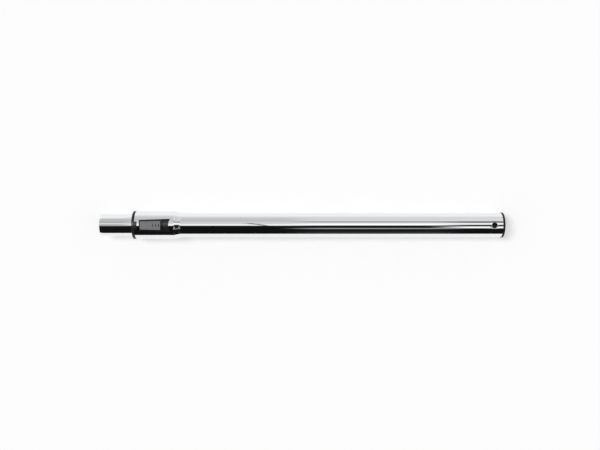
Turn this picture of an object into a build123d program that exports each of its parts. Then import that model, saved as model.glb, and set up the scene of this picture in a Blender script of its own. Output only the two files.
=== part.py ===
"""Telescopic vacuum cleaner tube: two chromed steel tubes, a thumb lock and a handle socket.

The tube lies along X, nozzle end at -X, with its lock facing up. Sizes are millimetres.
"""

import os
from math import radians, tan

from build123d import *

# Steel tubes
tube_wall = 0.7
inner_radius = 15.75
spigot_step = 0.25
spigot_length = 46.3
lead_in_length = 3.0
lead_in_depth = 0.3
step_length = 0.4

# Running and fitting clearances
slide_clearance = 0.2
run_clearance = 0.25
lift_clearance = 0.3
fit_clearance = 0.05
end_clearance = 0.5
stop_clearance = 0.8

# Plastic guide sleeve and its collar
collar_width = 4.0
collar_lip = 0.2
collar_bevel = 0.8
key_length = 3.6
key_width = 11.2
sleeve_floor = 1.6
nose_setback = 1.0
seal_width = 2.9
seal_depth = 1.7
seal_setback = 1.7

# Widened lock section of the outer tube
taper_length = 8.0
taper_rounding = 10.0
lock_margin = 5.6
window_bow = 2.0
window_rounding = 0.8
side_gap_nozzle = 2.2
side_gap_handle = 3.6
pocket_wall = 3.95

# Thumb slider and its pad
slider_travel = 8.0
saddle_thickness = 1.2
saddle_lip = 1.3
saddle_end_wall = 1.2
saddle_tail = 2.4
slider_roof = 1.1
panel_length = 28.8
panel_width = 11.4
panel_flare = 0.65
panel_lead = 6.9
panel_gap = 1.5
panel_rounding = 1.0
recess_spare = 3.2
pad_thickness = 0.65
pad_edge = 0.25
grip_count = 3
grip_pitch = 4.2
grip_width = 1.0
grip_length = 4.2
grip_depth = 0.45
grip_setback = 2.4

# Locking roller and the notches that it drops into
roller_radius = 1.25
roller_length = 9.6
notch_clearance = 0.2
notch_depth = 0.9
notch_angle = 50.0
notch_pitch = 30.0
notch_steps = 12

# Return spring of the slider
spring_radius = 1.0
spring_wire = 0.32
spring_turns = 5
spring_wire_sides = 6
spring_closed_length = 6.0
spring_floor = 0.6
spring_wall = 1.5
peg_length = 1.5

# Slide bush on the hidden end of the inner tube
bush_wall = 0.85
bush_length = 18.0
bush_lip = 1.5

# Handle socket
socket_depth = 45.0
socket_mouth = 0.5
rear_space = 37.9
end_ring_width = 2.9
end_ring_lip = 0.5
end_ring_bevel = 0.5
latch_setback = 15.3
latch_radius = 3.9
latch_rim = 0.45
liner_hole_margin = 0.5

# Radii, built outwards from the inner tube
spigot_radius = inner_radius + spigot_step
sleeve_bore = inner_radius + slide_clearance
floor_radius = sleeve_bore + sleeve_floor
saddle_inner = floor_radius + run_clearance
saddle_outer = saddle_inner + saddle_thickness
lock_bore = saddle_outer + lift_clearance
lock_radius = lock_bore + tube_wall
barrel_radius = lock_bore - slide_clearance
collar_radius = lock_radius + collar_lip
bush_radius = inner_radius + bush_wall
main_bore = bush_radius + slide_clearance
main_radius = main_bore + tube_wall
liner_radius = main_bore - fit_clearance
socket_radius = spigot_radius + slide_clearance
end_ring_radius = main_radius + end_ring_lip

# Heights above the tube's axis inside the lock
notch_radius = roller_radius + notch_clearance
roller_height = inner_radius - notch_depth + notch_radius
roller_lift = notch_depth - notch_clearance + slide_clearance
land_height = roller_height + roller_radius + notch_clearance
ceiling_height = land_height + roller_lift
carrier_height = ceiling_height + slider_roof
pad_height = carrier_height + pad_thickness
spring_height = sleeve_bore + spring_floor + run_clearance + spring_radius
spring_bore = spring_radius + run_clearance

# Widths across the lock
panel_half_nozzle = panel_width / 2
panel_half_handle = panel_half_nozzle + panel_flare
window_half_nozzle = panel_half_nozzle + side_gap_nozzle
window_half_handle = panel_half_nozzle + side_gap_handle
saddle_half = window_half_handle + saddle_lip
pocket_half = saddle_half + run_clearance

# Places along the tube, counted from the face where the outer tube meets the collar
pocket_start = pocket_wall
saddle_start = pocket_start + end_clearance
roller_reach = roller_radius + run_clearance
roller_place = saddle_start + saddle_end_wall + roller_reach + slider_travel
panel_start = roller_place - panel_lead
panel_end = panel_start + panel_length
saddle_end = panel_end + saddle_tail
pocket_end = saddle_end + slider_travel + end_clearance
window_start = panel_start - panel_gap
window_end = panel_end + slider_travel + recess_spare
window_corner = window_end + window_bow
lock_length = window_corner + lock_margin
spring_place = roller_place + roller_reach + spring_wall
spring_length = spring_closed_length + slider_travel
peg_place = spring_place + spring_length

# Whole length, pushed right in
telescope_travel = notch_pitch * notch_steps
sleeve_length = lock_length + taper_length - nose_setback
bush_place = sleeve_length + stop_clearance + telescope_travel
inner_end = bush_place + bush_length - bush_lip
outer_length = bush_place + bush_length + rear_space + socket_depth
overall_length = spigot_length + collar_width + outer_length

# The same places in the object's frame, whose origin is under the middle of the tube
x_nozzle = -overall_length / 2
x_collar = x_nozzle + spigot_length
x_lock = x_collar + collar_width
x_taper = x_lock + lock_length
x_main = x_taper + taper_length
x_sleeve_end = x_lock + sleeve_length
x_bush = x_lock + bush_place
x_inner_end = x_lock + inner_end
x_handle = x_lock + outer_length
x_end_ring = x_handle - end_ring_width
x_socket = x_handle - socket_depth
x_latch = x_handle - latch_setback
x_roller = x_lock + roller_place
x_spring = x_lock + spring_place
x_peg = x_lock + peg_place
x_panel = x_lock + panel_start

axis_height = collar_radius
tube_axis = Axis((0, 0, axis_height), (1, 0, 0))
side_plane = Plane((0, 0, axis_height), x_dir=(1, 0, 0), z_dir=(0, -1, 0))
top_plane = Plane((0, 0, axis_height))
along_tube = (0, 90, 0)
across_tube = (90, 0, 0)


def outline(*points):
    """A closed outline of (along, radius) points in the upright plane through the tube's axis."""
    with BuildSketch(side_plane) as face:
        with BuildLine():
            Polyline(*points, close=True)
        make_face()
    return face.sketch


def band(start, end, inside, outside):
    """The outline of a plain ring."""
    return outline((start, inside), (end, inside), (end, outside), (start, outside))


# Outer tube: drawn steel, widened for the lock, with the key slot, the slider's window and the latch hole
with BuildPart() as outer_tube:
    with BuildSketch(side_plane):
        with BuildLine():
            Polyline(
                (x_lock, lock_bore),
                (x_taper, lock_bore),
                (x_main, main_bore),
                (x_end_ring, main_bore),
                (x_end_ring, main_radius),
                (x_main, main_radius),
                (x_taper, lock_radius),
                (x_lock, lock_radius),
                close=True,
            )
        make_face()
        bends = vertices().group_by(Axis.X)
        fillet(bends[1] + bends[2], radius=taper_rounding)
    revolve(axis=tube_axis)
    with BuildSketch(top_plane):
        with BuildLine():
            Polyline(
                (x_lock + window_corner, window_half_handle),
                (x_lock + window_start, window_half_nozzle),
                (x_lock + window_start, -window_half_nozzle),
                (x_lock + window_corner, -window_half_handle),
            )
            ThreePointArc(
                (x_lock + window_corner, -window_half_handle),
                (x_lock + window_end, 0),
                (x_lock + window_corner, window_half_handle),
            )
        make_face()
        fillet(vertices(), radius=window_rounding)
    extrude(amount=collar_radius, mode=Mode.SUBTRACT)
    with Locations((x_lock, 0, axis_height + lock_radius)):
        Box(
            key_length + fit_clearance,
            key_width + 2 * fit_clearance,
            lock_radius,
            align=(Align.MIN, Align.CENTER, Align.CENTER),
            mode=Mode.SUBTRACT,
        )
    with Locations((x_latch, 0, axis_height + main_radius)):
        CounterSinkHole(latch_radius, latch_radius + latch_rim, depth=main_radius, counter_sink_angle=90)
outer_tube.part.label = "outer_tube"

# Inner tube: the wall is pressed in at each notch, so its back bulges into the bore
notch_places = [(x_roller + notch_pitch * i, roller_height) for i in range(notch_steps + 1)]


def notch_outline(reach):
    """A notch with a flat floor and sloping flanks, all of them that far from the roller's centre."""
    floor_half = reach * tan(radians(notch_angle / 2))
    mouth_half = floor_half + 2 * reach / tan(radians(notch_angle))
    return [(-floor_half, -reach), (floor_half, -reach), (mouth_half, reach), (-mouth_half, reach)]


with BuildPart() as notch_backs:
    with BuildSketch(side_plane):
        with Locations(*notch_places):
            Polygon(*notch_outline(notch_radius + tube_wall), align=None)
    extrude(amount=inner_radius, both=True)
    with Locations((0, 0, axis_height)):
        Cylinder(inner_radius - tube_wall / 2, 2 * overall_length, rotation=along_tube, mode=Mode.INTERSECT)

with BuildPart() as inner_tube:
    spigot_end = x_collar - step_length
    lead_in_end = x_nozzle + lead_in_length
    tip_radius = spigot_radius - lead_in_depth
    revolve(
        outline(
            (x_nozzle, tip_radius),
            (lead_in_end, spigot_radius),
            (spigot_end - spigot_step, spigot_radius),
            (spigot_end, inner_radius),
            (x_inner_end, inner_radius),
            (x_inner_end, inner_radius - tube_wall),
            (spigot_end, inner_radius - tube_wall),
            (spigot_end - spigot_step, spigot_radius - tube_wall),
            (lead_in_end, spigot_radius - tube_wall),
            (x_nozzle, tip_radius - tube_wall),
        ),
        axis=tube_axis,
    )
    add(notch_backs.part)
    with BuildSketch(side_plane):
        with Locations(*notch_places):
            Polygon(*notch_outline(notch_radius), align=None)
    extrude(amount=inner_radius, both=True, mode=Mode.SUBTRACT)
inner_tube.part.label = "inner_tube"

# Guide sleeve: one black moulding, collar outside and guide inside, that carries the lock
with BuildPart() as sleeve_key:
    revolve(band(x_lock, x_lock + key_length, floor_radius, collar_radius), axis=tube_axis)
    with Locations((0, 0, axis_height + collar_radius / 2)):
        Box(2 * overall_length, key_width, collar_radius, mode=Mode.INTERSECT)

with BuildPart() as slider_pocket:
    revolve(
        band(x_lock + pocket_start, x_lock + pocket_end, floor_radius, lock_radius),
        axis=tube_axis,
    )
    with Locations((0, 0, axis_height + lock_radius / 2)):
        Box(2 * overall_length, 2 * pocket_half, lock_radius, mode=Mode.INTERSECT)

with BuildPart() as guide_sleeve:
    taper_slope = (lock_bore - main_bore) / taper_length
    nose_radius = main_bore + taper_slope * nose_setback - slide_clearance
    revolve(
        outline(
            (x_collar, sleeve_bore),
            (x_collar, collar_radius),
            (x_lock, collar_radius),
            (x_lock, barrel_radius),
            (x_taper - end_clearance, barrel_radius),
            (x_sleeve_end, nose_radius - slide_clearance),
            (x_sleeve_end, sleeve_bore),
        ),
        axis=tube_axis,
    )
    rim = edges().filter_by(GeomType.CIRCLE).group_by(SortBy.RADIUS)[-1]
    chamfer(rim.sort_by(Axis.X)[0], length=collar_bevel)
    add(sleeve_key.part)
    revolve(
        band(
            x_collar + seal_setback,
            x_collar + seal_setback + seal_width + 2 * fit_clearance,
            sleeve_bore - fit_clearance,
            sleeve_bore + seal_depth,
        ),
        axis=tube_axis,
        mode=Mode.SUBTRACT,
    )
    add(slider_pocket.part, mode=Mode.SUBTRACT)
    with Locations((x_roller, 0, axis_height + inner_radius)):
        Box(
            2 * roller_radius + 2 * notch_clearance,
            roller_length + 2 * run_clearance,
            lock_radius - inner_radius + 2 * roller_length,
            align=(Align.CENTER, Align.CENTER, Align.CENTER),
            mode=Mode.SUBTRACT,
        )
    with Locations((x_spring - end_clearance, 0, axis_height + spring_height)):
        Cylinder(
            spring_bore,
            spring_length + end_clearance,
            rotation=along_tube,
            align=(Align.CENTER, Align.CENTER, Align.MIN),
            mode=Mode.SUBTRACT,
        )
    with Locations((x_peg, 0, axis_height + spring_height)):
        Cylinder(
            spring_radius,
            peg_length,
            rotation=along_tube,
            align=(Align.CENTER, Align.CENTER, Align.MIN),
        )
guide_sleeve.part.label = "guide_sleeve"

# Seal ring: a felt wiper in the collar that keeps the joint airtight
with BuildPart() as seal_ring:
    seal_start = x_collar + seal_setback + fit_clearance
    revolve(
        band(
            seal_start,
            seal_start + seal_width,
            sleeve_bore - slide_clearance / 2,
            sleeve_bore + seal_depth - fit_clearance,
        ),
        axis=tube_axis,
    )
seal_ring.part.label = "seal_ring"


def panel_face():
    """The pad's outline on top of its carrier, a little wider towards the handle, as the window is."""
    with BuildSketch(top_plane.offset(carrier_height)) as face:
        with BuildLine():
            Polyline(
                (x_panel, -panel_half_nozzle),
                (x_panel + panel_length, -panel_half_handle),
                (x_panel + panel_length, panel_half_handle),
                (x_panel, panel_half_nozzle),
                close=True,
            )
        make_face()
        fillet(face.vertices(), radius=panel_rounding)
    return face.sketch


# Thumb slider: a saddle held under the window's edges, with a ramp that frees the roller
with BuildPart() as lock_slider:
    revolve(
        band(x_lock + saddle_start, x_lock + saddle_end, saddle_inner, saddle_outer),
        axis=tube_axis,
    )
    with Locations((0, 0, axis_height + lock_radius / 2)):
        Box(2 * overall_length, 2 * saddle_half, lock_radius, mode=Mode.INTERSECT)
    extrude(panel_face(), amount=saddle_inner - carrier_height)
    with BuildSketch(side_plane):
        with BuildLine():
            Polyline(
                (x_roller + roller_reach, inner_radius),
                (x_roller + roller_reach, land_height),
                (x_roller, land_height),
                (x_roller - slider_travel + roller_radius, ceiling_height),
                (x_roller - slider_travel - roller_reach, ceiling_height),
                (x_roller - slider_travel - roller_reach, inner_radius),
                close=True,
            )
        make_face()
    extrude(amount=roller_length / 2 + run_clearance, both=True, mode=Mode.SUBTRACT)
    with Locations((x_spring, 0, axis_height + spring_height)):
        Cylinder(
            spring_bore,
            x_lock + saddle_end - x_spring,
            rotation=along_tube,
            align=(Align.CENTER, Align.CENTER, Align.MIN),
            mode=Mode.SUBTRACT,
        )
        Box(
            x_lock + saddle_end - x_spring,
            2 * spring_bore,
            spring_height,
            align=(Align.MIN, Align.CENTER, Align.MAX),
            mode=Mode.SUBTRACT,
        )
lock_slider.part.label = "lock_slider"

# Slider pad: the flat grey thumb face, with three short grip grooves
with BuildPart() as slider_pad:
    extrude(panel_face(), amount=pad_thickness)
    chamfer(faces().sort_by(Axis.Z)[-1].edges(), length=pad_edge)
    last_grip = x_lock + panel_end - grip_setback
    with Locations(*[(last_grip - grip_pitch * i, 0, axis_height + pad_height) for i in range(grip_count)]):
        Box(
            grip_width,
            grip_length,
            grip_depth,
            align=(Align.CENTER, Align.CENTER, Align.MAX),
            mode=Mode.SUBTRACT,
        )
slider_pad.part.label = "slider_pad"

# Lock roller: a hardened cross pin that drops into one notch at a time
with BuildPart() as lock_roller:
    with Locations((x_roller, 0, axis_height + roller_height)):
        Cylinder(roller_radius, roller_length, rotation=across_tube)
    chamfer(edges().filter_by(GeomType.CIRCLE), length=notch_clearance)
lock_roller.part.label = "lock_roller"

# Return spring: an open coil between the slider and the sleeve's peg
with BuildPart() as return_spring:
    coil_radius = spring_radius - spring_wire / 2
    coil_length = spring_length - spring_wire - 2 * fit_clearance
    coil_start = x_spring + fit_clearance + spring_wire / 2
    with BuildLine() as coil:
        Helix(
            coil_length / spring_turns,
            coil_length,
            coil_radius,
            center=(coil_start, 0, axis_height + spring_height),
            direction=(1, 0, 0),
        )
    with BuildSketch(Plane(coil.line @ 0, z_dir=coil.line % 0)):
        RegularPolygon(spring_wire / 2, spring_wire_sides)
    sweep(path=coil.line, is_frenet=True)
return_spring.part.label = "return_spring"

# Slide bush: a plastic ring that steadies the hidden end and stops it at the sleeve
with BuildPart() as slide_bush:
    revolve(
        outline(
            (x_bush, inner_radius + fit_clearance),
            (x_bush, bush_radius),
            (x_bush + bush_length, bush_radius),
            (x_bush + bush_length, inner_radius - tube_wall),
            (x_inner_end + fit_clearance, inner_radius - tube_wall),
            (x_inner_end + fit_clearance, inner_radius + fit_clearance),
        ),
        axis=tube_axis,
    )
slide_bush.part.label = "slide_bush"

# Handle socket: a black liner inside the outer tube, with a flange round its end
with BuildPart() as handle_socket:
    revolve(
        outline(
            (x_socket, socket_radius),
            (x_socket, liner_radius),
            (x_end_ring, liner_radius),
            (x_end_ring, end_ring_radius),
            (x_handle, end_ring_radius),
            (x_handle, socket_radius + socket_mouth),
            (x_handle - socket_mouth, socket_radius),
        ),
        axis=tube_axis,
    )
    flange = edges().filter_by(GeomType.CIRCLE).group_by(SortBy.RADIUS)[-1]
    chamfer(flange.sort_by(Axis.X)[-1], length=end_ring_bevel)
    with Locations((x_latch, 0, axis_height + main_radius)):
        Hole(latch_radius + liner_hole_margin, depth=main_radius)
handle_socket.part.label = "handle_socket"

os.makedirs("parts", exist_ok=True)
export_step(outer_tube.part, "parts/outer_tube.step")
export_step(inner_tube.part, "parts/inner_tube.step")
export_step(guide_sleeve.part, "parts/guide_sleeve.step")
export_step(seal_ring.part, "parts/seal_ring.step")
export_step(lock_slider.part, "parts/lock_slider.step")
export_step(slider_pad.part, "parts/slider_pad.step")
export_step(lock_roller.part, "parts/lock_roller.step")
export_step(return_spring.part, "parts/return_spring.step")
export_step(slide_bush.part, "parts/slide_bush.step")
export_step(handle_socket.part, "parts/handle_socket.step")
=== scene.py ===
# %% [markdown]
# # A telescopic vacuum cleaner tube
# Two chromed steel tubes slide one in the other, with a black collar, a thumb lock in a window and a black
# socket for the handle. The CAD frame gives every piece its place and its motion. This lesson gives each
# piece that shows a finer mesh and its real finish, and then builds the studio that the chrome mirrors.

# %% Load the CAD frame
import math

import bmesh
import bpy
from mathutils import Matrix, Vector


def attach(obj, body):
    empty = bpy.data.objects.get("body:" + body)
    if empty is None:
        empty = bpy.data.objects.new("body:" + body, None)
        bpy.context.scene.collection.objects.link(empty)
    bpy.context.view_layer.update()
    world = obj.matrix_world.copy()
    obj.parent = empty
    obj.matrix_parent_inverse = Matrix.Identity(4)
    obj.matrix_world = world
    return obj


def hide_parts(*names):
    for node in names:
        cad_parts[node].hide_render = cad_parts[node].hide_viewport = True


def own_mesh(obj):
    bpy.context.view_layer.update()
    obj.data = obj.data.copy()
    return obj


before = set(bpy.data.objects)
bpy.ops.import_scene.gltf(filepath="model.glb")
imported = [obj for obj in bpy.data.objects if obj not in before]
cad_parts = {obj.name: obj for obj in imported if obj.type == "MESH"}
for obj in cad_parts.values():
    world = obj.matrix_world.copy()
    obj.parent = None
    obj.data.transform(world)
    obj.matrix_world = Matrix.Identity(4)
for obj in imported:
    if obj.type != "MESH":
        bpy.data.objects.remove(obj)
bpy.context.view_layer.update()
scene = bpy.context.scene
scene.view_settings.view_transform = "Standard"
print("CAD nodes:", ", ".join(sorted(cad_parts)))

# %% [markdown]
# ## Sizes that several pieces share
# The frame is in metres, and the sizes below are the millimetres of the CAD source, so that a piece made
# here sits exactly where its solid is. Places are counted along the tube from its middle, nozzle end first,
# and radii and heights from the tube's axis.

# %% Shared sizes
mm = 0.001
axis_height = 20.2
tube_wall = 0.7

x_nozzle = -287.425
x_collar = -241.125
x_lock = -237.125
x_taper = -181.275
x_main = -173.275
x_latch = 272.125
x_end_ring = 284.525
x_handle = 287.425

inner_radius = 15.75
main_radius = 17.5
lock_radius = 20.0
collar_radius = 20.2
print(f"{x_handle - x_nozzle:.1f} mm long, pushed right in")


# %% [markdown]
# ## Turned pieces
# A tube, a collar and a socket are all round, so each is one outline turned about the tube's axis. On a
# lathe that would be a single cut, and Blender's spin is the same idea: a few vertices draw the section, a
# vertex bevel rounds the corners that are given a rounding, and a full turn closes the ring. Many small
# steps matter here, because a mirror finish shows every facet.

# %% Spin an outline into a ring
turn_steps = 192
corner_steps = 5
weld_reach = 0.001


def spun(*outline):
    """A closed ring: (along, radius) points in mm, with a third value where the corner is rounded."""
    ring = bmesh.new()
    corners = [
        ring.verts.new(Vector((along, 0, axis_height + radius)) * mm)
        for along, radius, *_ in outline
    ]
    for start, end in zip(corners, corners[1:] + corners[:1]):
        ring.edges.new((start, end))
    for corner, (_, _, *rounding) in zip(corners, outline):
        if rounding:
            bmesh.ops.bevel(ring, geom=[corner], offset=rounding[0] * mm, segments=corner_steps,
                            profile=0.5, affect="VERTICES", material=-1)
    bmesh.ops.spin(ring, geom=ring.verts[:] + ring.edges[:], cent=(0, 0, axis_height * mm), axis=(1, 0, 0),
                   angle=math.tau, steps=turn_steps, use_merge=True)
    bmesh.ops.remove_doubles(ring, verts=ring.verts[:], dist=weld_reach * mm)
    bmesh.ops.recalc_face_normals(ring, faces=ring.faces[:])
    return ring


def solid(name, shape):
    """An object at the origin that takes over a bmesh."""
    mesh = bpy.data.meshes.new(name)
    shape.to_mesh(mesh)
    shape.free()
    made = bpy.data.objects.new(name, mesh)
    scene.collection.objects.link(made)
    return made


print(f"{turn_steps} steps to the turn, {math.tau * lock_radius / turn_steps:.2f} mm each at the lock")


# %% [markdown]
# ## Blocks and rods
# Windows, slots and holes are punched into the steel and moulded into the plastic. The tools that cut them
# are plain bodies that are thrown away afterwards: a cube scaled between two corners, and a cylinder stood
# up or laid along the tube. A tool reaches well past what it cuts, so no thin skin is left behind.

# %% Tool bodies
tool_top = 30.0
tool_reach = 300.0
rod_sides = 48
along_tube = Matrix.Rotation(math.pi / 2, 4, "Y")
upright = Matrix.Identity(4)


def block(low, high):
    """A box between two corners, in mm, with heights counted from the tube's axis."""
    size = [b - a for a, b in zip(low, high)]
    middle = [(a + b) / 2 for a, b in zip(low, high)]
    middle[2] += axis_height
    shape = bmesh.new()
    bmesh.ops.create_cube(shape, size=mm)
    bmesh.ops.scale(shape, vec=size, verts=shape.verts[:])
    bmesh.ops.translate(shape, vec=Vector(middle) * mm, verts=shape.verts[:])
    return solid("block", shape)


def rod(start, radius, length, turn):
    """A round bar from its start point, in mm, turned from upright by the given matrix."""
    shape = bmesh.new()
    bmesh.ops.create_cone(shape, cap_ends=True, segments=rod_sides, radius1=radius * mm,
                          radius2=radius * mm, depth=length * mm,
                          matrix=Matrix.Translation((0, 0, length * mm / 2)))
    bmesh.ops.transform(shape, matrix=turn, verts=shape.verts[:])
    foot = Vector((start[0], start[1], start[2] + axis_height)) * mm
    bmesh.ops.translate(shape, vec=foot, verts=shape.verts[:])
    return solid("rod", shape)


print(f"tools stand {tool_top - collar_radius:.1f} mm above the collar")


# %% [markdown]
# ## Faces pushed into blocks
# The window, the pad and the notches have outlines that are neither a box nor a circle. Each starts as one
# flat face through its corners. A vertex bevel rounds the corners while the shape is still flat, which is
# far simpler than rounding the finished block, and an extrusion then pushes the face into a block.

# %% Draw a face and push it
def flat_face(corners, rounding=0):
    """One face through (x, y, height) corners in mm, with its corners rounded where a rounding is given."""
    shape = bmesh.new()
    points = [shape.verts.new(Vector((x, y, axis_height + height)) * mm) for x, y, height in corners]
    shape.faces.new(points)
    if rounding:
        bmesh.ops.bevel(shape, geom=points, offset=rounding * mm, segments=corner_steps, profile=0.5,
                        affect="VERTICES", material=-1)
    return shape


def pushed(shape, way):
    """The block that a shape's one face sweeps when it is pushed by a vector in mm."""
    grown = bmesh.ops.extrude_face_region(shape, geom=shape.faces[:])["geom"]
    far_points = [part for part in grown if isinstance(part, bmesh.types.BMVert)]
    bmesh.ops.translate(shape, vec=Vector(way) * mm, verts=far_points)
    bmesh.ops.recalc_face_normals(shape, faces=shape.faces[:])
    return shape


print("a rounded corner has", corner_steps, "segments")


# %% [markdown]
# ## Cuts and joints
# A boolean with the exact solver keeps the curved walls as they are and leaves clean rims, which the mirror
# finish needs. It could stay as a modifier, but the tool would then have to stay too, so each one is
# applied at once.

# %% Join, cut or keep what two bodies share
def combine(piece, tool, operation):
    """The piece after a UNION, DIFFERENCE or INTERSECT with the tool."""
    step = piece.modifiers.new("combine", "BOOLEAN")
    step.object = tool
    step.operation = operation
    step.solver = "EXACT"
    seen = piece.evaluated_get(bpy.context.evaluated_depsgraph_get())
    shaped = bpy.data.meshes.new_from_object(seen)
    piece.modifiers.clear()
    piece.data = shaped
    print(f"{operation.lower()} of {piece.name} and {tool.name}: {len(shaped.polygons)} faces")
    bpy.data.objects.remove(tool)
    return piece


# %% [markdown]
# ## Outer tube
# The outer tube is drawn steel that was widened at one end for the lock, so the step from 40 mm to 35 mm is
# a soft double bend. Near the handle end a hole is punched for the latch button, and the punch dishes the
# wall round it a little, which bends the mirrored lines there. Rings of extra vertices near the hole take
# that dish. A ring beside each bend keeps the bend's soft shading from running on along the straight wall.

# %% Outer tube wall
bend_reach = 1.53
support_gap = 3.0
dish_depth = 0.2
dish_reach = 5.0
dish_span = 12.0
dish_cuts = 31
main_bore = main_radius - tube_wall
lock_bore = lock_radius - tube_wall


def dish(away):
    """How deep the wall is pressed in, at a distance in mm from the hole's centre."""
    return dish_depth * math.exp(-(away / dish_reach) ** 2)


wall = spun(
    (x_lock, lock_bore),
    (x_taper, lock_bore, bend_reach),
    (x_main, main_bore, bend_reach),
    (x_end_ring, main_bore),
    (x_end_ring, main_radius),
    (x_latch + dish_span, main_radius),
    (x_latch - dish_span, main_radius),
    (x_main + support_gap, main_radius),
    (x_main, main_radius, bend_reach),
    (x_taper, lock_radius, bend_reach),
    (x_taper - support_gap, lock_radius),
    (x_lock, lock_radius),
)
dish_edges = [
    edge for edge in wall.edges
    if edge.calc_length() > dish_span * mm
    and all(abs(v.co.x / mm - x_latch) < dish_span + 0.1 for v in edge.verts)
]
bmesh.ops.subdivide_edges(wall, edges=dish_edges, cuts=dish_cuts, use_grid_fill=True)
for point in wall.verts:
    outwards = Vector((0, point.co.y, point.co.z - axis_height * mm))
    if outwards.z > 0 and outwards.length > (main_bore + main_radius) / 2 * mm:
        away = math.hypot(point.co.x - x_latch * mm, point.co.y) / mm
        point.co -= outwards.normalized() * dish(away) * mm
outer_tube = solid("outer_tube_shell", wall)
print(len(outer_tube.data.polygons), "faces in the outer tube's wall")

# %% [markdown]
# ## The slider's window
# The window is a little wider towards the handle, and its far end bows inwards. The punch for it is one
# face: its corners are rounded, its far edge is divided and bent, and it is then pushed up through the
# wall.

# %% Punch the window
window_start = -230.375
window_corner = -186.875
window_bow = 2.0
window_half_nozzle = 7.9
window_half_handle = 9.3
window_rounding = 0.8
bow_cuts = 23

punch = flat_face([
    (window_start, -window_half_nozzle, 0),
    (window_corner, -window_half_handle, 0),
    (window_corner, window_half_handle, 0),
    (window_start, window_half_nozzle, 0),
], window_rounding)
far_edge = max(punch.edges, key=lambda edge: (sum(v.co.x for v in edge.verts), edge.calc_length()))
for divided in bmesh.ops.subdivide_edges(punch, edges=[far_edge], cuts=bow_cuts)["geom_inner"]:
    if isinstance(divided, bmesh.types.BMVert):
        share = divided.co.y / (window_half_handle - window_rounding) / mm
        divided.co.x -= window_bow * (1 - share ** 2) * mm
combine(outer_tube, solid("punch", pushed(punch, (0, 0, tool_top))), "DIFFERENCE")

# %% [markdown]
# ## Key slot and latch hole
# A short slot in the tube's end takes the collar's key, so the collar can't turn. The latch hole has a rim
# that was turned in by the punch. Its tool is a spun pin with a flared collar, lowered at its sides to
# follow the tube's curve, so that the rim is as wide all round.

# %% Cut the slot and the hole
key_length = 3.6
key_width = 11.2
fit_clearance = 0.05
latch_radius = 3.9
latch_rim = 0.45
rim_rounding = 0.2
pin_flare = 6.0
pin_top = 19.0
pin_steps = 64

slot_half = key_width / 2 + fit_clearance
slot_end = x_lock + key_length + fit_clearance
combine(outer_tube, block((-tool_reach, -slot_half, 0), (slot_end, slot_half, tool_top)), "DIFFERENCE")

pin = bmesh.new()
pin_points = [
    pin.verts.new(Vector((x_latch + radius, 0, axis_height + height)) * mm)
    for radius, height in (
        (0, 0),
        (latch_radius, 0),
        (latch_radius, main_radius - latch_rim),
        (latch_radius + latch_rim, main_radius),
        (pin_flare, pin_top),
        (0, pin_top),
    )
]
for start, end in zip(pin_points, pin_points[1:]):
    pin.edges.new((start, end))
bmesh.ops.bevel(pin, geom=pin_points[2:4], offset=rim_rounding * mm, segments=3, profile=0.5,
                affect="VERTICES", material=-1)
bmesh.ops.spin(pin, geom=pin.verts[:] + pin.edges[:], cent=(x_latch * mm, 0, 0), axis=(0, 0, 1),
               angle=math.tau, steps=pin_steps, use_merge=True)
bmesh.ops.remove_doubles(pin, verts=pin.verts[:], dist=weld_reach * mm)
bmesh.ops.recalc_face_normals(pin, faces=pin.faces[:])
for point in pin.verts:
    if point.co.z > (axis_height + latch_radius) * mm:
        curve_drop = main_radius - math.sqrt(main_radius ** 2 - (point.co.y / mm) ** 2)
        point.co.z -= (curve_drop + dish(latch_radius)) * mm
combine(outer_tube, solid("latch_pin", pin), "DIFFERENCE")

# %% [markdown]
# ## Inner tube
# The inner tube slides in the outer one and shows as a short stub. Its nozzle end is a sized spigot with a
# slight lead-in, so that a nozzle starts on it easily. It is spun like the outer tube, with rings beside
# its bends.

# %% Inner tube wall
spigot_radius = 16.0
tip_radius = 15.7
lead_in_end = x_nozzle + 3.0
spigot_end = x_collar - 0.4
spigot_step = spigot_end - 0.25
x_inner_end = 203.025
tip_rounding = 0.12
lead_in_rounding = 1.0
step_rounding = 0.1

inner_tube = solid("inner_tube_shell", spun(
    (x_nozzle, tip_radius, tip_rounding),
    (lead_in_end, spigot_radius, lead_in_rounding),
    (lead_in_end + 2 * lead_in_rounding, spigot_radius),
    (spigot_step - 5 * step_rounding, spigot_radius),
    (spigot_step, spigot_radius, step_rounding),
    (spigot_end, inner_radius, step_rounding),
    (spigot_end + 5 * step_rounding, inner_radius),
    (x_inner_end, inner_radius),
    (x_inner_end, inner_radius - tube_wall),
    (spigot_end, inner_radius - tube_wall),
    (spigot_step, spigot_radius - tube_wall),
    (lead_in_end, spigot_radius - tube_wall),
    (x_nozzle, tip_radius - tube_wall, tip_rounding),
))
print(len(inner_tube.data.polygons), "faces in the inner tube's wall")

# %% [markdown]
# ## Notches
# Along the inner tube's top a row of notches is pressed in, and the lock's roller drops into one of them.
# Pressing moves the wall rather than cutting it, so each notch has a bulge inside. Two rows of bars do that
# here: the thicker row adds the bulges, and the thinner one cuts the notches into them.

# %% Press the notches
x_roller = -221.975
roller_height = 16.3
notch_reach = 1.45
notch_angle = math.radians(50)
notch_pitch = 30.0
notch_count = 13


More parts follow.
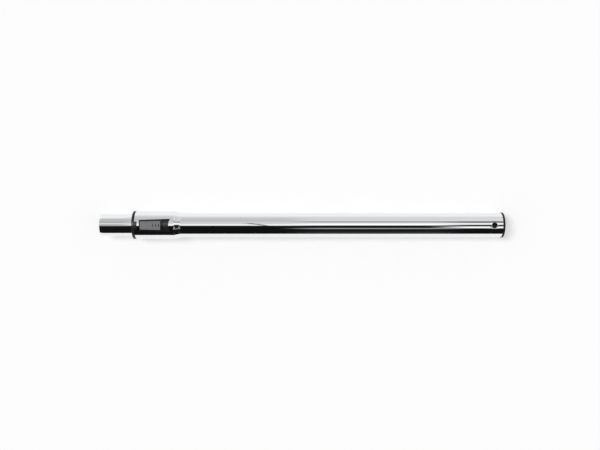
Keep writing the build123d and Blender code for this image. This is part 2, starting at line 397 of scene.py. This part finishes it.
def notch_row(reach):
    """A row of bars with a flat floor and sloping flanks, each that far from the roller's centre."""
    floor_half = reach * math.tan(notch_angle / 2)
    mouth_half = floor_half + 2 * reach / math.tan(notch_angle)
    section = [(-floor_half, -reach), (floor_half, -reach), (mouth_half, reach), (-mouth_half, reach)]
    row = flat_face([(x_roller + along, -inner_radius, roller_height + up) for along, up in section])
    pushed(row, (0, 2 * inner_radius, 0))
    first = row.verts[:] + row.edges[:] + row.faces[:]
    for i in range(1, notch_count):
        copy = bmesh.ops.duplicate(row, geom=first)["geom"]
        moved = [part for part in copy if isinstance(part, bmesh.types.BMVert)]
        bmesh.ops.translate(row, vec=(notch_pitch * i * mm, 0, 0), verts=moved)
    return solid("notch_row", row)


bulges = notch_row(notch_reach + tube_wall)
mid_wall = rod((x_nozzle, 0, 0), inner_radius - tube_wall / 2, x_handle - x_nozzle, along_tube)
combine(bulges, mid_wall, "INTERSECT")
combine(inner_tube, bulges, "UNION")
combine(inner_tube, notch_row(notch_reach), "DIFFERENCE")

# %% [markdown]
# ## Guide sleeve and collar
# One black moulding is both the collar that shows and the guide inside. Its outline is spun, with a groove
# for the felt seal. A key that fits the outer tube's slot is a short piece of a ring, so it is spun whole
# and then trimmed.

# %% Sleeve outline and key
sleeve_bore = 15.95
floor_radius = 17.55
barrel_radius = 19.1
nose_radius = 16.7125
x_sleeve_end = -174.275
seal_start = x_collar + 1.7
seal_end = seal_start + 3.0
seal_floor = 17.65
key_root = x_lock - 0.5
key_top = collar_radius - 0.02
collar_rounding = 0.8
shoulder_rounding = 0.1
barrel_rounding = 0.5
nose_rounding = 0.2
key_rounding = 0.15

guide_sleeve = solid("guide_sleeve_moulding", spun(
    (x_collar, sleeve_bore),
    (x_collar, collar_radius, collar_rounding),
    (x_lock, collar_radius, shoulder_rounding),
    (x_lock, barrel_radius),
    (x_taper - 0.5, barrel_radius, barrel_rounding),
    (x_sleeve_end, nose_radius, nose_rounding),
    (x_sleeve_end, sleeve_bore),
    (seal_end, sleeve_bore),
    (seal_end, seal_floor),
    (seal_start, seal_floor),
    (seal_start, sleeve_bore),
))
key = solid("key", spun(
    (key_root, floor_radius),
    (key_root, key_top),
    (x_lock + key_length, key_top, key_rounding),
    (x_lock + key_length, floor_radius),
))
combine(key, block((-tool_reach, -key_width / 2, 0), (0, key_width / 2, tool_top)), "INTERSECT")
combine(guide_sleeve, key, "UNION")

# %% [markdown]
# ## The sleeve's inside
# The slider runs in a curved pocket on top of the sleeve. In the pocket's floor are a slot for the roller
# and a half-round channel for the return spring, with a peg at its end. A mould would form them all at
# once; here each is one cut, in the order in which the slider's parts would be dropped in.

# %% Sleeve pocket, roller slot and spring channel
pocket_start = -233.175
pocket_end = -189.175
pocket_top = 22.0
pocket_half = 10.85
roller_slot = 1.45
roller_slot_half = 5.05
x_spring = -218.975
x_peg = -204.975
spring_height = 17.8
spring_bore = 1.25
channel_start = x_spring - 0.5
peg_radius = 1.0
peg_length = 1.5

pocket = solid("pocket", spun(
    (pocket_start, floor_radius),
    (pocket_end, floor_radius),
    (pocket_end, pocket_top),
    (pocket_start, pocket_top),
))
combine(pocket, block((-tool_reach, -pocket_half, 0), (0, pocket_half, tool_top)), "INTERSECT")
combine(guide_sleeve, pocket, "DIFFERENCE")
slot_low = (x_roller - roller_slot, -roller_slot_half, 0)
slot_high = (x_roller + roller_slot, roller_slot_half, tool_top)
combine(guide_sleeve, block(slot_low, slot_high), "DIFFERENCE")
channel = rod((channel_start, 0, spring_height), spring_bore, x_peg - channel_start, along_tube)
combine(guide_sleeve, channel, "DIFFERENCE")
combine(guide_sleeve, rod((x_peg, 0, spring_height), peg_radius, peg_length, along_tube), "UNION")

# %% [markdown]
# ## Thumb slider
# The slider is a curved saddle that the window's edges hold down, with a raised carrier for the pad. The
# saddle is a trimmed ring, like the key, and the carrier is a pushed face that the pad will share.

# %% Slider saddle and carrier
saddle_start = -232.675
saddle_end = -197.675
saddle_inner = 17.8
saddle_outer = 19.0
saddle_half = 10.6
saddle_front_rounding = 0.3
saddle_back_rounding = 0.4
saddle_under_rounding = 0.2
panel_start = -228.875
panel_end = -200.075
panel_half_nozzle = 5.7
panel_half_handle = 6.35
panel_rounding = 1.0
carrier_root = 18.3
carrier_height = 19.75


def panel(low, high):
    """The block under the thumb, between two heights in mm, a little wider towards the handle."""
    outline = flat_face([
        (panel_start, -panel_half_nozzle, low),
        (panel_end, -panel_half_handle, low),
        (panel_end, panel_half_handle, low),
        (panel_start, panel_half_nozzle, low),
    ], panel_rounding)
    return pushed(outline, (0, 0, high - low))


lock_slider = solid("lock_slider_moulding", spun(
    (saddle_start, saddle_inner),
    (saddle_end, saddle_inner, saddle_under_rounding),
    (saddle_end, saddle_outer, saddle_back_rounding),
    (saddle_start, saddle_outer, saddle_front_rounding),
))
combine(lock_slider, block((-tool_reach, -saddle_half, 0), (0, saddle_half, tool_top)), "INTERSECT")
combine(lock_slider, solid("carrier", panel(carrier_root, carrier_height)), "UNION")

# %% [markdown]
# ## The slider's underside
# Under the slider a land holds the roller down in its notch. When the thumb moves the slider, a ramp comes
# over the roller and makes room for it to rise. Behind the ramp is a groove for the return spring, open
# downwards.

# %% Slider ramp and spring seat
roller_reach = 1.5
roller_radius = 1.25
slider_travel = 8.0
land_height = 17.75
ceiling_height = 18.65
free_place = x_roller - slider_travel
groove_length = 25.0
groove_bottom = 10.0

ramp = flat_face([(along, -roller_slot_half, height) for along, height in (
    (x_roller + roller_reach, inner_radius),
    (x_roller + roller_reach, land_height),
    (x_roller, land_height),
    (free_place + roller_radius, ceiling_height),
    (free_place - roller_reach, ceiling_height),
    (free_place - roller_reach, inner_radius),
)])
combine(lock_slider, solid("ramp", pushed(ramp, (0, 2 * roller_slot_half, 0))), "DIFFERENCE")
groove = rod((x_spring, 0, spring_height), spring_bore, groove_length, along_tube)
combine(lock_slider, groove, "DIFFERENCE")
groove_high = (x_spring + groove_length, spring_bore, spring_height)
combine(lock_slider, block((x_spring, -spring_bore, groove_bottom), groove_high), "DIFFERENCE")

# %% [markdown]
# ## Thumb pad
# The grey pad is a thin plate on the carrier, with its top edges broken and three short grooves for grip.
# It has the carrier's outline, so the same function draws it, and an edge bevel on the top face alone
# breaks the edges.

# %% Pad plate and grooves
pad_height = 20.4
pad_edge = 0.25
last_grip = -202.475
grip_count = 3
grip_pitch = 4.2
grip_half_width = 0.5
grip_half_length = 2.1
grip_depth = 0.45

plate = panel(carrier_height, pad_height)
near_top = (axis_height + pad_height - pad_edge / 2) * mm
top_edges = [edge for edge in plate.edges if min(v.co.z for v in edge.verts) > near_top]
bmesh.ops.bevel(plate, geom=top_edges, offset=pad_edge * mm, segments=3, profile=0.5, affect="EDGES",
                material=-1)
slider_pad = solid("slider_pad_plate", plate)
for i in range(grip_count):
    middle = last_grip - grip_pitch * i
    grip_low = (middle - grip_half_width, -grip_half_length, pad_height - grip_depth)
    grip_high = (middle + grip_half_width, grip_half_length, tool_top)
    combine(slider_pad, block(grip_low, grip_high), "DIFFERENCE")

# %% [markdown]
# ## Handle socket
# A black liner sits in the outer tube's end, and its flange shows as the thin end ring. The outline is
# spun, and a hole in the liner lets the latch button through. That hole is wider than the steel's, so it
# stays out of sight.

# %% Socket liner
x_socket = 242.425
socket_radius = 16.2
liner_radius = 16.75
end_ring_radius = 18.0
mouth_bevel = 0.5
small_rounding = 0.15
liner_hole = 4.4
hole_foot = 2.0
hole_length = 20.0

handle_socket = solid("handle_socket_liner", spun(
    (x_socket, socket_radius),
    (x_socket, liner_radius),
    (x_end_ring, liner_radius),
    (x_end_ring, end_ring_radius, small_rounding),
    (x_handle, end_ring_radius, mouth_bevel),
    (x_handle, socket_radius + mouth_bevel, small_rounding),
    (x_handle - mouth_bevel, socket_radius, small_rounding),
))
combine(handle_socket, rod((x_latch, 0, hole_foot), liner_hole, hole_length, upright), "DIFFERENCE")

# %% [markdown]
# ## Return spring
# The spring pushes the slider back after the thumb lets go. A wire circle is spun about the spring's own
# axis and moved along at each step, which draws a coil, just as a spring is wound on a mandrel.

# %% Coil the wire
spring_turns = 5
steps_per_turn = 28
wire_sides = 10
wire_radius = 0.16
coil_radius = 0.84
coil_length = 13.58
coil_start = x_spring + 0.21

coil = bmesh.new()
circle = bmesh.ops.create_circle(coil, segments=wire_sides, radius=wire_radius * mm)["verts"]
bmesh.ops.rotate(coil, matrix=Matrix.Rotation(math.pi / 2, 3, "X"), verts=circle)
coil_axis = Vector((coil_start, 0, axis_height + spring_height)) * mm
bmesh.ops.translate(coil, vec=coil_axis + Vector((0, 0, coil_radius * mm)), verts=circle)
coil_steps = spring_turns * steps_per_turn
bmesh.ops.spin(coil, geom=coil.verts[:] + coil.edges[:], cent=coil_axis, axis=(1, 0, 0),
               dvec=(coil_length * mm / coil_steps, 0, 0), angle=math.tau * spring_turns, steps=coil_steps)
bmesh.ops.holes_fill(coil, edges=[edge for edge in coil.edges if edge.is_boundary])
bmesh.ops.recalc_face_normals(coil, faces=coil.faces[:])
return_spring = solid("return_spring_coil", coil)
print(len(return_spring.data.polygons), "faces in the spring")


# %% [markdown]
# ## Colours and nodes
# A colour is written as the sRGB hex value that a picture shows, and a shader wants linear light, so one
# function turns it. One more adds a node with its settings and links, which keeps each finish short enough
# to read.

# %% Colour and node helpers
def linear(hex_colour):
    """An sRGB hex colour as the linear RGBA that a shader socket takes."""
    shown = [int(hex_colour[i:i + 2], 16) / 255 for i in (1, 3, 5)]
    return [c / 12.92 if c <= 0.04045 else ((c + 0.055) / 1.055) ** 2.4 for c in shown] + [1.0]


def add_node(tree, kind, inputs=None, **settings):
    """A new node; each input is a plain value or another node's output."""
    made = tree.nodes.new(kind)
    for name, value in settings.items():
        setattr(made, name, value)
    for name, value in (inputs or {}).items():
        if isinstance(value, bpy.types.NodeSocket):
            tree.links.new(value, made.inputs[name])
        else:
            made.inputs[name].default_value = value
    return made


def new_material(name):
    """An empty node material and its tree."""
    material = bpy.data.materials.new(name)
    material.use_nodes = True
    material.node_tree.nodes.clear()
    return material, material.node_tree


print("mid grey is", [round(c, 3) for c in linear("#808080")])

# %% [markdown]
# ## Bright chrome
# The tubes are drawn steel with a bright chrome plate. Such a plate is nearly a mirror, so what the eye
# sees is the room, stretched into lines along the tube. Drawing and polishing leave faint lines along it
# that soften the gloss, and the wall is never quite straight, so the mirrored lines waver. Colour and
# roughness do all the work, and the IOR stays as it is, because this is a metal.

# %% Chrome
# The real polishing lines are finer than a hair, and are drawn 1.5 mm apart so that they show.
polish_lines = (60, 1.5, 1.5)
waver_length = 35
waver_depth = 0.02

chrome, tree = new_material("bright_chrome_on_drawn_steel")
place = add_node(tree, "ShaderNodeTexCoord").outputs["Object"]
stretched = add_node(tree, "ShaderNodeMapping", {
    "Vector": place, "Scale": [1 / (gap * mm) for gap in polish_lines]})
lines = add_node(tree, "ShaderNodeTexNoise", {"Vector": stretched.outputs[0], "Scale": 1.0, "Detail": 3.0})
swells = add_node(tree, "ShaderNodeTexNoise", {
    "Vector": place, "Scale": 1 / (waver_length * mm), "Detail": 2.0})
gloss = add_node(tree, "ShaderNodeMapRange", {
    "Value": lines.outputs["Fac"], "From Min": 0.3, "From Max": 0.7, "To Min": 0.02, "To Max": 0.05})
waver = add_node(tree, "ShaderNodeBump", {
    "Height": swells.outputs["Fac"], "Strength": 1.0, "Distance": waver_depth * mm})
tone = add_node(tree, "ShaderNodeMix", {
    0: lines.outputs["Fac"], 6: linear("#EDEFF1"), 7: linear("#F2F3F4")}, data_type="RGBA")
plating = add_node(tree, "ShaderNodeBsdfPrincipled", {
    "Base Color": tone.outputs[2], "Metallic": 1.0, "Roughness": gloss.outputs[0],
    "Normal": waver.outputs[0]})
add_node(tree, "ShaderNodeOutputMaterial", {"Surface": plating.outputs[0]})
print(len(tree.nodes), "nodes in", chrome.name)


# %% [markdown]
# ## Moulded plastics
# Collar, socket and slider are black ABS and the pad is grey polypropylene. A mould gives a part its skin:
# a fine spark-eroded or polished grain that breaks up the gloss, and soft clouds of tone where the melt
# met. One function makes all four, because they differ only in tone, gloss and grain.

# %% Plastics
# A real mould's grain is about 0.1 mm, and is drawn at 0.7 mm so that it shows.
skin_grain = 0.7
cloud_size = 6
plastic_ior = 1.53


def moulded(name, dark, light, smooth, rough, grain_depth, shine=0.5):
    """A moulded plastic: two tones, and a fine grain that breaks up its gloss."""
    material, tree = new_material(name)
    place = add_node(tree, "ShaderNodeTexCoord").outputs["Object"]
    clouds = add_node(tree, "ShaderNodeTexNoise", {
        "Vector": place, "Scale": 1 / (cloud_size * mm), "Detail": 4.0})
    skin = add_node(tree, "ShaderNodeTexNoise", {
        "Vector": place, "Scale": 1 / (skin_grain * mm), "Detail": 2.0})
    tone = add_node(tree, "ShaderNodeMix", {
        0: clouds.outputs["Fac"], 6: linear(dark), 7: linear(light)}, data_type="RGBA")
    gloss = add_node(tree, "ShaderNodeMapRange", {
        "Value": skin.outputs["Fac"], "From Min": 0.3, "From Max": 0.7, "To Min": smooth, "To Max": rough})
    grain = add_node(tree, "ShaderNodeBump", {
        "Height": skin.outputs["Fac"], "Strength": 1.0, "Distance": grain_depth * mm})
    body = add_node(tree, "ShaderNodeBsdfPrincipled", {
        "Base Color": tone.outputs[2], "Roughness": gloss.outputs[0], "IOR": plastic_ior,
        "Specular IOR Level": shine, "Normal": grain.outputs[0]})
    add_node(tree, "ShaderNodeOutputMaterial", {"Surface": body.outputs[0]})
    print(len(tree.nodes), "nodes in", name)
    return material


# Satin collar: dark, with one soft highlight. Eroded socket: dull and darkest. Polished slider: glossier.
# Grained pad: an even mid grey with no highlight of its own.
black_abs = moulded("moulded_black_abs", "#161617", "#1D1D1E", 0.28, 0.38, 0.01, 0.25)
matt_abs = moulded("eroded_black_abs", "#0E0E0F", "#141415", 0.5, 0.65, 0.02)
slider_abs = moulded("polished_black_abs", "#1C1C1D", "#262627", 0.2, 0.32, 0.006)
pad_pp = moulded("grained_grey_polypropylene", "#777779", "#838385", 0.45, 0.6, 0.03)


# %% [markdown]
# ## Bare and hardened steel
# A plating bath throws little chrome into a bore, so the tubes are bare drawn steel inside: grey and dull,
# with lines along the tube. The roller and the spring are hardened steel, brighter, and the roller is
# ground round. Both finishes are fine lines in steel, stretched one way or the other.

# %% Steels
def lined_steel(name, dark, light, smooth, rough, spacing):
    """Steel with fine lines, whose spacing along x, y and z is in mm."""
    material, tree = new_material(name)
    place = add_node(tree, "ShaderNodeTexCoord").outputs["Object"]
    stretched = add_node(tree, "ShaderNodeMapping", {
        "Vector": place, "Scale": [1 / (gap * mm) for gap in spacing]})
    lines = add_node(tree, "ShaderNodeTexNoise", {
        "Vector": stretched.outputs[0], "Scale": 1.0, "Detail": 2.0})
    gloss = add_node(tree, "ShaderNodeMapRange", {
        "Value": lines.outputs["Fac"], "From Min": 0.3, "From Max": 0.7, "To Min": smooth, "To Max": rough})
    tone = add_node(tree, "ShaderNodeMix", {
        0: lines.outputs["Fac"], 6: linear(dark), 7: linear(light)}, data_type="RGBA")
    body = add_node(tree, "ShaderNodeBsdfPrincipled", {
        "Base Color": tone.outputs[2], "Metallic": 1.0, "Roughness": gloss.outputs[0]})
    add_node(tree, "ShaderNodeOutputMaterial", {"Surface": body.outputs[0]})
    print(len(tree.nodes), "nodes in", name)
    return material


# Both line spacings are several times coarser than the real ones, so that the lines show.
steel = lined_steel("ground_hardened_steel", "#B4B5B8", "#C8C9CB", 0.2, 0.4, (0.2, 4, 0.2))
bore_steel = lined_steel("bare_drawn_steel", "#8E8F91", "#A9AAAC", 0.4, 0.6, (40, 1.5, 1.5))

# %% [markdown]
# ## Felt
# The seal is a ring of pressed wool felt that wipes the inner tube. Pressed wool has no weave, only tangled
# fibres, so a noise at the size of a tuft gives both its mottled grey and its nap, and a little sheen gives
# its soft edge.

# %% Felt
tuft_size = 0.4
nap_depth = 0.15

felt, tree = new_material("pressed_wool_felt")
place = add_node(tree, "ShaderNodeTexCoord").outputs["Object"]
fibres = add_node(tree, "ShaderNodeTexNoise", {
    "Vector": place, "Scale": 1 / (tuft_size * mm), "Detail": 6.0})
tone = add_node(tree, "ShaderNodeMix", {
    0: fibres.outputs["Fac"], 6: linear("#525252"), 7: linear("#6C6C6A")}, data_type="RGBA")
nap = add_node(tree, "ShaderNodeBump", {
    "Height": fibres.outputs["Fac"], "Strength": 1.0, "Distance": nap_depth * mm})
wool = add_node(tree, "ShaderNodeBsdfPrincipled", {
    "Base Color": tone.outputs[2], "Roughness": 0.95, "Sheen Weight": 0.3, "Normal": nap.outputs[0]})
add_node(tree, "ShaderNodeOutputMaterial", {"Surface": wool.outputs[0]})
print(len(tree.nodes), "nodes in", felt.name)


# %% [markdown]
# ## Dress the pieces
# Each piece gets its finish and the body that it moves with, and it hides the CAD node that it stands for.
# Before that, the double points that cuts leave are merged, and edges sharper than a bend in sheet metal
# stay crisp while the rest is shaded smooth.

# %% Dress the pieces
crisp_angle = math.radians(32)


def dress(piece, finish, body, node):
    """Gives a piece clean seams, its finish, crisp edges and its place in the frame."""
    shape = bmesh.new()
    shape.from_mesh(piece.data)
    bmesh.ops.remove_doubles(shape, verts=shape.verts[:], dist=weld_reach * mm)
    bmesh.ops.dissolve_degenerate(shape, edges=shape.edges[:], dist=weld_reach * mm)
    shape.to_mesh(piece.data)
    shape.free()
    piece.data.materials.clear()
    piece.data.materials.append(finish)
    piece.data.shade_smooth()
    piece.data.set_sharp_from_angle(angle=crisp_angle)
    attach(piece, body)
    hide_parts(node)
    print(piece.name, "rides on", body)


dress(outer_tube, chrome, "outer", "outer_tube")
dress(inner_tube, chrome, "inner", "inner_tube")
dress(guide_sleeve, black_abs, "outer", "guide_sleeve")
dress(handle_socket, matt_abs, "outer", "handle_socket")
dress(lock_slider, slider_abs, "slider", "lock_slider")
dress(slider_pad, pad_pp, "slider", "slider_pad")
dress(return_spring, steel, "outer", "return_spring")


# %% [markdown]
# ## Second finishes
# Three pieces show two finishes. The tubes are bare steel where their wall faces the axis, and the floors
# of the pad's grooves take the black slider plastic as painted shade. A face's own direction or height
# tells which finish it has, so no seam has to be drawn.

# %% Bores and groove floors
def faces_axis(face):
    """Whether a face of a tube is on the inside of its wall."""
    outwards = Vector((0, face.center.y, face.center.z - axis_height * mm)).normalized()
    return face.normal.dot(outwards) < -0.5


def in_painted_groove_shade(face):
    """Whether a face of the pad is the floor of a groove, which is painted black as shade."""
    return face.normal.z > 0.9 and face.center.z < (axis_height + pad_height - grip_depth / 2) * mm


for piece, finish, belongs in (
    (outer_tube, bore_steel, faces_axis),
    (inner_tube, bore_steel, faces_axis),
    # the pad's groove floors take the black slider plastic as painted shade
    (slider_pad, slider_abs, in_painted_groove_shade),
):
    piece.data.materials.append(finish)
    changed = [face for face in piece.data.polygons if belongs(face)]
    for face in changed:
        face.material_index = 1
    print(len(changed), "faces of", piece.name, "are", finish.name)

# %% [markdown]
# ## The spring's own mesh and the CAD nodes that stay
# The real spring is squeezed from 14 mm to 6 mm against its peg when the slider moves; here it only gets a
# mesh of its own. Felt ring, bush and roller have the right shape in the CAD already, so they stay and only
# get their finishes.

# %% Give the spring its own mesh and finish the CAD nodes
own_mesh(return_spring)
for node, finish in (("seal_ring", felt), ("slide_bush", black_abs), ("lock_roller", steel)):
    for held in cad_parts[node].material_slots:
        held.material = finish
    print(node, "is", finish.name)

# %% [markdown]
# ## Floor
# The tube lies on a white table. The floor is a plain pale sheet that takes the shadow. A pale colour alone
# comes out a light grey under plain light, so the sheet also glows a little, but only towards the camera
# and mirrors: that makes it white in the picture and in the chrome, and throws no light on the tube.

# %% Floor
floor_reach = 30
floor_glow = 0.48

sheet = bmesh.new()
bmesh.ops.create_grid(sheet, x_segments=1, y_segments=1, size=floor_reach)
floor = solid("floor", sheet)

table, tree = new_material("pale_table")
rays = add_node(tree, "ShaderNodeLightPath")
seen = rays.outputs["Is Camera Ray"]
for kind in ("Is Glossy Ray", "Is Transmission Ray"):
    seen = add_node(tree, "ShaderNodeMath", {
        0: seen, 1: rays.outputs[kind]}, operation="MAXIMUM").outputs[0]
glow = add_node(tree, "ShaderNodeMath", {0: seen, 1: floor_glow}, operation="MULTIPLY")
paint = add_node(tree, "ShaderNodeBsdfPrincipled", {
    "Base Color": linear("#CBCBCB"), "Roughness": 0.9, "Specular IOR Level": 0.0,
    "Emission Color": linear("#FFFFFF"), "Emission Strength": glow.outputs[0]})
add_node(tree, "ShaderNodeOutputMaterial", {"Surface": paint.outputs[0]})
floor.data.materials.append(table)
print("the floor is", 2 * floor_reach, "m wide")

# %% [markdown]
# ## Lamps
# A large soft lamp hangs overhead, on the nozzle side, so the tube's shadow falls past the handle end and a
# little towards the front. The mirrored lamp is left out, because the walls below draw everything that the
# chrome shows. A second small lamp gives the black collar its one soft highlight, and is linked to that
# moulding alone, so that it leaves no white speck on the chrome.

# %% Lamps
overhead_data = bpy.data.lights.new("overhead_lamp", "SUN")
overhead_data.energy = 0.5 * math.pi
overhead_data.angle = math.radians(20)
overhead = bpy.data.objects.new("overhead_lamp", overhead_data)
overhead.rotation_euler = (math.radians(-10), math.radians(-28), 0)
overhead.visible_glossy = False
scene.collection.objects.link(overhead)

side_data = bpy.data.lights.new("nozzle_side_lamp", "AREA")
side_data.energy = 7.0
side_data.size = 0.06
side_lamp = bpy.data.objects.new("nozzle_side_lamp", side_data)
side_lamp.location = (-0.65, 0.22, 1.0)
to_collar = Vector((x_collar, 0, axis_height)) * mm - side_lamp.location
side_lamp.rotation_euler = to_collar.to_track_quat("-Z", "Y").to_euler()
scene.collection.objects.link(side_lamp)
collar_only = bpy.data.collections.new("lit_by_the_side_lamp")
collar_only.objects.link(guide_sleeve)
side_lamp.light_linking.receiver_collection = collar_only
print(f"the side lamp is {to_collar.length:.2f} m from the collar")

# %% [markdown]
# ## The room that the chrome mirrors
# A mirror has no look of its own, so the room decides how the tube looks: a pale ceiling and far side, a
# dark near side, and the floor. The room is drawn as levels of light against the lean from straight up,
# seen along the tube. It changes along the tube, as a real room does, so there are five stretches of wall
# that pass softly into each other. Only mirrored rays see them; all other light is an even white.

# %% Directions
world = bpy.data.worlds.new("studio")
scene.world = world
world.use_nodes = True
tree = world.node_tree
tree.nodes.clear()
widest_lean = 100

rays = add_node(tree, "ShaderNodeLightPath")
towards = add_node(tree, "ShaderNodeTexCoord")
part = add_node(tree, "ShaderNodeSeparateXYZ", {0: towards.outputs["Generated"]})
along = part.outputs["X"]
lean = add_node(tree, "ShaderNodeMath", {0: part.outputs["Y"], 1: part.outputs["Z"]}, operation="ARCTAN2")
height_on_wall = add_node(tree, "ShaderNodeMapRange", {
    "Value": lean.outputs[0], "From Min": math.radians(-widest_lean),
    "From Max": math.radians(widest_lean)})
print("walls reach", widest_lean, "degrees either side of straight up")

# %% [markdown]
# ## Five stretches of wall
# Each stretch says where it starts and where it is complete, as the X part of a direction, and then its
# levels of light as (lean in degrees, level). Negative leans are the near side, which is dark down to the
# floor.

# %% Walls
floor_edge = [(-91, 1.0), (-90, 0.006)]
walls = [
    (-1.1, -1.0, [
        (-9.5, 0.008), (-7.5, 0.42), (-3, 0.42), (6, 0.45), (10, 0.7), (15, 0.95), (19, 0.7), (24, 0.48),
        (36, 0.48), (47, 0.58), (59, 0.52), (71, 0.7), (80, 0.95), (89, 1.0), (90, 1.0)]),
    (-0.235, -0.21, [
        (-5.7, 0.006), (-3.5, 0.85), (1, 1.1), (6, 1.0), (14, 0.71), (24, 0.72), (33, 0.64), (43, 0.58),
        (53, 0.6), (64, 0.64), (75, 0.7), (89, 0.83), (90, 1.0)]),
    (-0.03, 0.03, [
        (-80, 0.05), (-70, 0.03), (-60, 0.012), (-40, 0.01), (-36, 0.05), (-34.5, 0.42), (-30, 0.42),
        (-26, 0.1), (-22, 0.006), (-4.5, 0.006), (-1.5, 0.7), (4, 1.2), (14, 1.1), (19, 0.78), (24, 0.62),
        (30, 0.45), (34, 0.32), (38, 0.55), (43, 0.85), (53, 0.74), (75, 0.76), (89, 0.83), (90, 1.0)]),
    (0.17, 0.225, [
        (-40, 0.006), (-31.5, 0.02), (-28, 0.35), (-25, 1.15), (-14, 1.1), (-11, 0.3), (-9, 0.01),
        (1, 0.01), (4, 0.4), (7, 1.0), (17, 1.1), (20, 0.5), (24, 0.22), (35, 0.25), (39, 0.55),
        (44, 0.85), (50, 0.85), (57, 0.76), (75, 0.76), (89, 0.83), (90, 1.0)]),
    (0.27, 0.31, [
        (-40, 0.01), (-36, 0.18), (-29, 0.2), (-25, 0.03), (-20, 0.01), (0, 0.006), (3, 0.3), (5.5, 0.9),
        (8, 1.05), (16, 1.1), (19, 0.7), (22, 0.48), (33, 0.48), (38, 0.62), (45, 0.72), (64, 0.68),
        (75, 0.7), (89, 0.83), (90, 1.0)]),
]
seen_wall = (0, 0, 0, 1)
for start, complete, levels in walls:
    ramp = add_node(tree, "ShaderNodeValToRGB", {"Fac": height_on_wall.outputs[0]})
    marks = ramp.color_ramp.elements
    marks.remove(marks[1])
    for i, (degrees, level) in enumerate(floor_edge + levels):
        where = (degrees + widest_lean) / (2 * widest_lean)
        mark = marks.new(where) if i else marks[0]
        mark.position = where
        mark.color = (level, level, level, 1)
    share = add_node(tree, "ShaderNodeMapRange", {"Value": along, "From Min": start, "From Max": complete},
                     interpolation_type="SMOOTHSTEP")
    seen_wall = add_node(tree, "ShaderNodeMix", {0: share.outputs[0], 6: seen_wall, 7: ramp.outputs[0]},
                         data_type="RGBA").outputs[2]
print(len(walls), "stretches of wall")

# %% [markdown]
# ## A slanting streak
# Left of the middle one thin dark streak slants across the lower half of the mirrored room, as the edge of
# a curtain would. It is dark where a direction is near its line, and only over a short stretch of the tube.

# %% Streak
streak_slope = math.radians(870)
streak_offset = math.radians(42)
streak_dark = (0.05, 0.05, 0.05, 1)

line = add_node(tree, "ShaderNodeMath", {
    0: along, 1: streak_slope, 2: streak_offset}, operation="MULTIPLY_ADD")
off_line = add_node(tree, "ShaderNodeMath", {0: lean.outputs[0], 1: line.outputs[0]}, operation="ADD")
off_line = add_node(tree, "ShaderNodeMath", {0: off_line.outputs[0]}, operation="ABSOLUTE")
streak = 1.0
for value, outside, inside in (
    (off_line.outputs[0], math.radians(6), math.radians(2)),
    (along, -0.074, -0.066),
    (along, -0.036, -0.046),
):
    share = add_node(tree, "ShaderNodeMapRange", {"Value": value, "From Min": outside, "From Max": inside},
                     interpolation_type="SMOOTHSTEP")
    streak = add_node(tree, "ShaderNodeMath", {
        0: streak, 1: share.outputs[0]}, operation="MULTIPLY").outputs[0]
seen_wall = add_node(tree, "ShaderNodeMix", {
    0: streak, 6: seen_wall, 7: streak_dark}, data_type="RGBA").outputs[2]
print(len(tree.nodes), "nodes in the world so far")

# %% [markdown]
# ## Who sees what
# Mirrored rays see the walls, the camera sees plain white behind the floor, and every other ray gets an
# even soft light. Lamp and soft light add up to a plain level, at which a colour comes out about as it is
# written.

# %% World
soft_level = 0.4

mirrored = add_node(tree, "ShaderNodeBackground", {"Color": seen_wall, "Strength": 1.0})
soft = add_node(tree, "ShaderNodeBackground", {"Color": linear("#FFFFFF"), "Strength": soft_level})
white = add_node(tree, "ShaderNodeBackground", {"Color": linear("#FFFFFF"), "Strength": 1.0})
lit = add_node(tree, "ShaderNodeMixShader", {
    0: rays.outputs["Is Glossy Ray"], 1: soft.outputs[0], 2: mirrored.outputs[0]})
shown = add_node(tree, "ShaderNodeMixShader", {
    0: rays.outputs["Is Camera Ray"], 1: lit.outputs[0], 2: white.outputs[0]})
add_node(tree, "ShaderNodeOutputWorld", {"Surface": shown.outputs[0]})
print(len(tree.nodes), "nodes in the world")

# %% [markdown]
# ## Camera
# The photo looks straight down on the tube from about a metre, with the tube across the frame. The camera
# leans by two degrees, which splits the difference between the places of the pad and of the latch hole in
# the photo.

# %% Camera
camera_reach = 1.077
camera_lean = math.radians(2)
aim = Vector((-3, 0, axis_height)) * mm

camera_data = bpy.data.cameras.new("camera")
camera_data.lens = 45
camera_data.sensor_width = 36
camera = bpy.data.objects.new("camera", camera_data)
scene.collection.objects.link(camera)
scene.camera = camera
camera.location = aim + camera_reach * Vector((0, math.sin(camera_lean), math.cos(camera_lean)))
camera.rotation_euler = (-camera_lean, 0, 0)
print(f"the camera is {camera.location.z:.3f} m above the floor")
